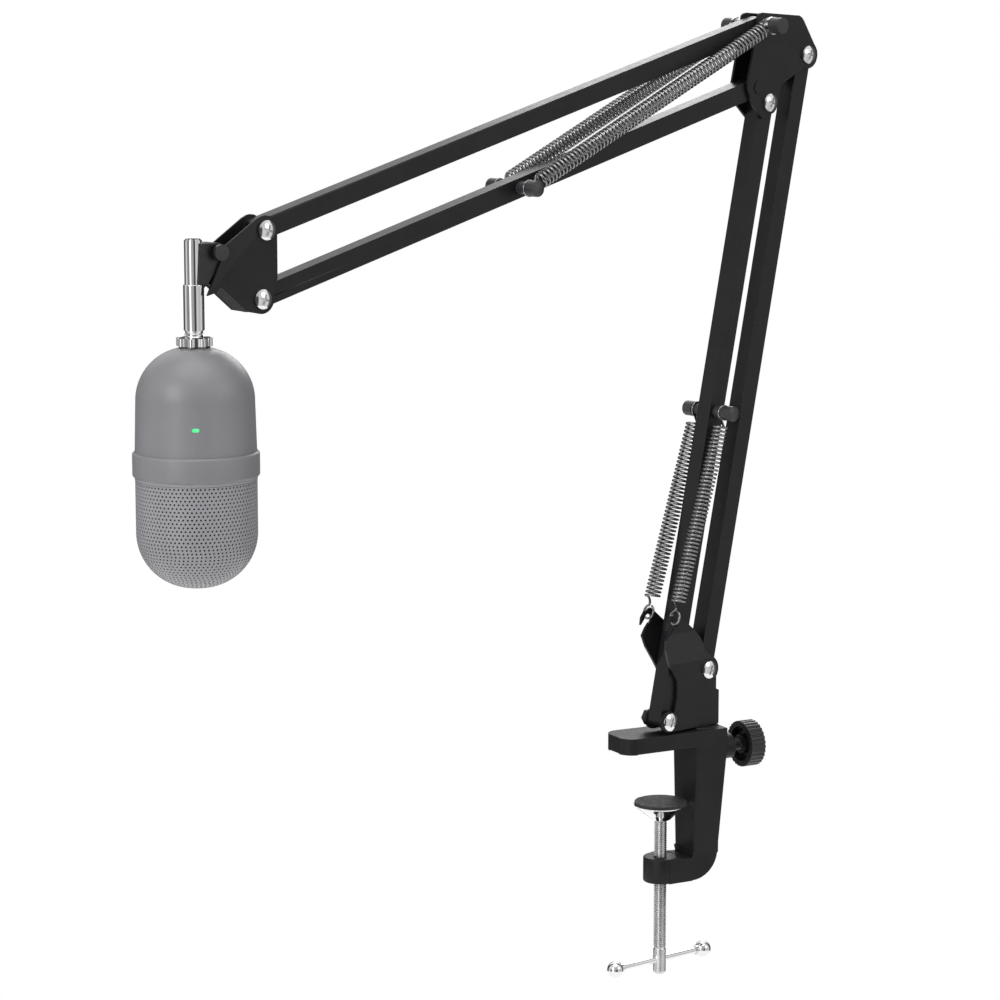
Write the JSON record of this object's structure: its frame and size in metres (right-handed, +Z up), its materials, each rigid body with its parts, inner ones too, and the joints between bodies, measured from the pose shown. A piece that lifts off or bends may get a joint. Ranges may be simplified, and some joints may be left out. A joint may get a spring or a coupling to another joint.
{
  "type": "condenser microphone on boom arm",
  "caption": "Capsule-shaped USB condenser microphone hanging from a spring-balanced scissor boom arm on a screw desk clamp.",
  "frame": {"origin": "on the desk seat, the flat underside of the clamp's upper jaw, on the clamp screw's axis", "axes": "+Z up and along the clamp screw; +X from the open front of the clamp to its back; the arm is swivelled 10 degrees about the post and carries the microphone over -X"},
  "size_m": [0.4308, 0.1161, 0.5273],
  "materials": {
    "clamp_black": "satin black powder coat",
    "arm_black": "satin black paint",
    "chrome": "polished",
    "zinc": "bright zinc plate",
    "spring_steel": "dark oiled spring steel",
    "black_steel": "black zinc plate",
    "nylon": "natural nylon",
    "bronze": "sintered bronze",
    "black_plastic": "fine grain",
    "pad_rubber": "matt",
    "cap_grey": "satin",
    "mic_paint": "satin grey paint with a fine metallic grain",
    "mic_mesh": "perforated steel, satin grey paint",
    "insert_brass": "machined",
    "inner_plastic": "matt",
    "foam": "open-cell foam",
    "gold": "gold-coated film and brass",
    "board": "solder mask",
    "light": "green light pipe",
    "port_steel": "nickel plate"
  },
  "bodies": {
    "clamp": {"clamp_frame": "clamp_black"},
    "pad": {"pad_cup": "chrome", "pad_rubber": "pad_rubber"},
    "screw": {"clamp_screw": "zinc"},
    "tommy": {"tommy_bar": "chrome", "tommy_balls": "chrome"},
    "lock_tip": {"lock_tip": "nylon"},
    "lock": {"lock_knob": "black_plastic", "lock_stud": "black_steel"},
    "base": {"base_post": "zinc", "base_bracket": "arm_black", "base_bolts": "chrome", "base_nuts": "black_steel", "base_washers": "black_plastic"},
    "lower_front": {"lower_front_bar": "arm_black", "lower_front_bushes": "bronze", "lower_spring_pin": "zinc", "lower_pin_caps": "cap_grey"},
    "lower_springs": {"lower_springs": "spring_steel"},
    "lower_eyes": {"lower_spring_eyes": "spring_steel"},
    "lower_rear": {"lower_rear_bar": "arm_black", "lower_rear_bushes": "bronze"},
    "elbow": {"elbow_bracket": "arm_black", "elbow_bolts": "chrome", "elbow_nuts": "black_steel", "elbow_rivet": "arm_black", "elbow_washers": "black_plastic", "elbow_spring_bolt": "chrome", "elbow_spring_caps": "cap_grey"},
    "upper_bottom": {"upper_bottom_bar": "arm_black", "upper_bottom_bushes": "bronze", "upper_spring_pin": "zinc", "upper_pin_caps": "cap_grey"},
    "upper_springs": {"upper_springs": "spring_steel"},
    "upper_eyes": {"upper_spring_eyes": "spring_steel"},
    "upper_top": {"upper_top_bar": "arm_black", "upper_top_bushes": "bronze"},
    "head": {"head_bracket": "arm_black", "head_bolts": "chrome", "head_nuts": "black_steel", "head_washers": "black_plastic", "tilt_bolt": "black_steel", "tilt_nut": "zinc"},
    "swivel": {"swivel_block": "black_plastic", "mic_rod": "chrome"},
    "mic": {"rod_sleeve": "chrome", "thread_insert": "insert_brass", "mic_shell": "mic_paint", "mic_chassis": "inner_plastic", "mic_band": "mic_paint", "mic_grille": "mic_mesh", "grille_foam": "foam", "capsule_mount": "inner_plastic", "capsule_body": "gold", "capsule_diaphragm": "gold", "mic_board": "board", "led_lens": "light", "usb_socket": "port_steel"},
    "ring_washer": {"ring_washer": "black_plastic"},
    "lock_ring": {"lock_ring": "chrome"}
  },
  "joints": [
    {"name": "pad_lift", "type": "slide", "parent": "clamp", "child": "pad", "axis": [0, 0, 1], "range_m": [-0.018, 0.029]},
    {"name": "screw_turn", "type": "hinge", "parent": "pad", "child": "screw", "pos_m": [0, 0, -0.08], "axis": [0, 0, 1], "range_deg": [-5184, 8352]},
    {"name": "tommy_slide", "type": "slide", "parent": "screw", "child": "tommy", "axis": [0.9877, 0.1564, 0], "range_m": [-0.022, 0.022]},
    {"name": "lock_slide", "type": "slide", "parent": "clamp", "child": "lock_tip", "axis": [1, 0, 0], "range_m": [0, 0.003]},
    {"name": "lock_turn", "type": "hinge", "parent": "lock_tip", "child": "lock", "pos_m": [0.05, 0, -0.0045], "axis": [1, 0, 0], "range_deg": [0, 1080]},
    {"name": "base_swivel", "type": "hinge", "parent": "clamp", "child": "base", "pos_m": [0.0245, 0, 0], "axis": [0, 0, 1], "continuous": true},
    {"name": "lower_arm", "type": "hinge", "parent": "base", "child": "lower_front", "pos_m": [-0.00357, -0.00495, 0.0162], "axis": [-0.1736, 0.9848, 0], "range_deg": [-60, 14], "deforming": ["lower_springs", "lower_spring_eyes"]},
    {"name": "lower_spring_swing", "type": "hinge", "parent": "base", "child": "lower_springs", "pos_m": [-0.00455, -0.00512, 0.0712], "axis": [-0.1736, 0.9848, 0], "range_deg": [-84, 21]},
    {"name": "lower_eye_swing", "type": "hinge", "parent": "lower_front", "child": "lower_eyes", "pos_m": [0.03058, 0.00107, 0.18365], "axis": [-0.1736, 0.9848, 0], "range_deg": [-25, 7]},
    {"name": "lower_link", "type": "hinge", "parent": "base", "child": "lower_rear", "pos_m": [0.0245, 0, 0.0417], "axis": [-0.1736, 0.9848, 0], "range_deg": [-60, 14]},
    {"name": "elbow_level", "type": "hinge", "parent": "lower_front", "child": "elbow", "pos_m": [0.06453, 0.00706, 0.35012], "axis": [-0.1736, 0.9848, 0], "range_deg": [-14, 60]},
    {"name": "upper_arm", "type": "hinge", "parent": "elbow", "child": "upper_bottom", "pos_m": [0.05705, 0.00574, 0.35831], "axis": [-0.1736, 0.9848, 0], "range_deg": [-45, 55], "deforming": ["upper_springs", "upper_spring_eyes"]},
    {"name": "upper_spring_swing", "type": "hinge", "parent": "elbow", "child": "upper_springs", "pos_m": [0.05961, 0.00619, 0.39132], "axis": [-0.1736, 0.9848, 0], "range_deg": [-44, 53]},
    {"name": "upper_eye_swing", "type": "hinge", "parent": "upper_bottom", "child": "upper_eyes", "pos_m": [-0.10545, -0.02291, 0.30975], "axis": [-0.1736, 0.9848, 0], "range_deg": [-6, 6]},
    {"name": "upper_link", "type": "hinge", "parent": "elbow", "child": "upper_top", "pos_m": [0.05961, 0.00619, 0.39132], "axis": [-0.1736, 0.9848, 0], "range_deg": [-45, 55]},
    {"name": "head_level", "type": "hinge", "parent": "upper_bottom", "child": "head", "pos_m": [-0.26511, -0.05107, 0.26204], "axis": [-0.1736, 0.9848, 0], "range_deg": [-55, 45]},
    {"name": "head_tilt", "type": "hinge", "parent": "head", "child": "swivel", "pos_m": [-0.28864, -0.05522, 0.28554], "axis": [-0.1736, 0.9848, 0], "range_deg": [-10, 60]},
    {"name": "mic_turn", "type": "hinge", "parent": "swivel", "child": "mic", "pos_m": [-0.29899, -0.05704, 0.26074], "axis": [0, 0, 1], "continuous": true},
    {"name": "ring_slide", "type": "slide", "parent": "mic", "child": "ring_washer", "axis": [0, 0, 1], "range_m": [0, 0.003]},
    {"name": "ring_turn", "type": "hinge", "parent": "ring_washer", "child": "lock_ring", "pos_m": [-0.29899, -0.05704, 0.24274], "axis": [0, 0, 1], "range_deg": [0, 680]}
  ],
  "couplings": [
    {"joint": "pad_lift", "follows": "screw_turn", "m_per_rad": 0.00019894},
    {"joint": "lock_slide", "follows": "lock_turn", "m_per_rad": 0.00015915},
    {"joint": "lower_link", "follows": "lower_arm", "ratio": 1},
    {"joint": "lower_spring_swing", "follows": "lower_arm", "ratio": 1.382},
    {"joint": "lower_eye_swing", "follows": "lower_arm", "ratio": 0.382},
    {"joint": "upper_spring_swing", "follows": "upper_arm", "ratio": 0.93},
    {"joint": "upper_eye_swing", "follows": "upper_arm", "ratio": -0.07},
    {"joint": "elbow_level", "follows": "lower_arm", "ratio": -1},
    {"joint": "upper_link", "follows": "upper_arm", "ratio": 1},
    {"joint": "head_level", "follows": "upper_arm", "ratio": -1},
    {"joint": "ring_slide", "follows": "ring_turn", "m_per_rad": 0.00025266}
  ]
}
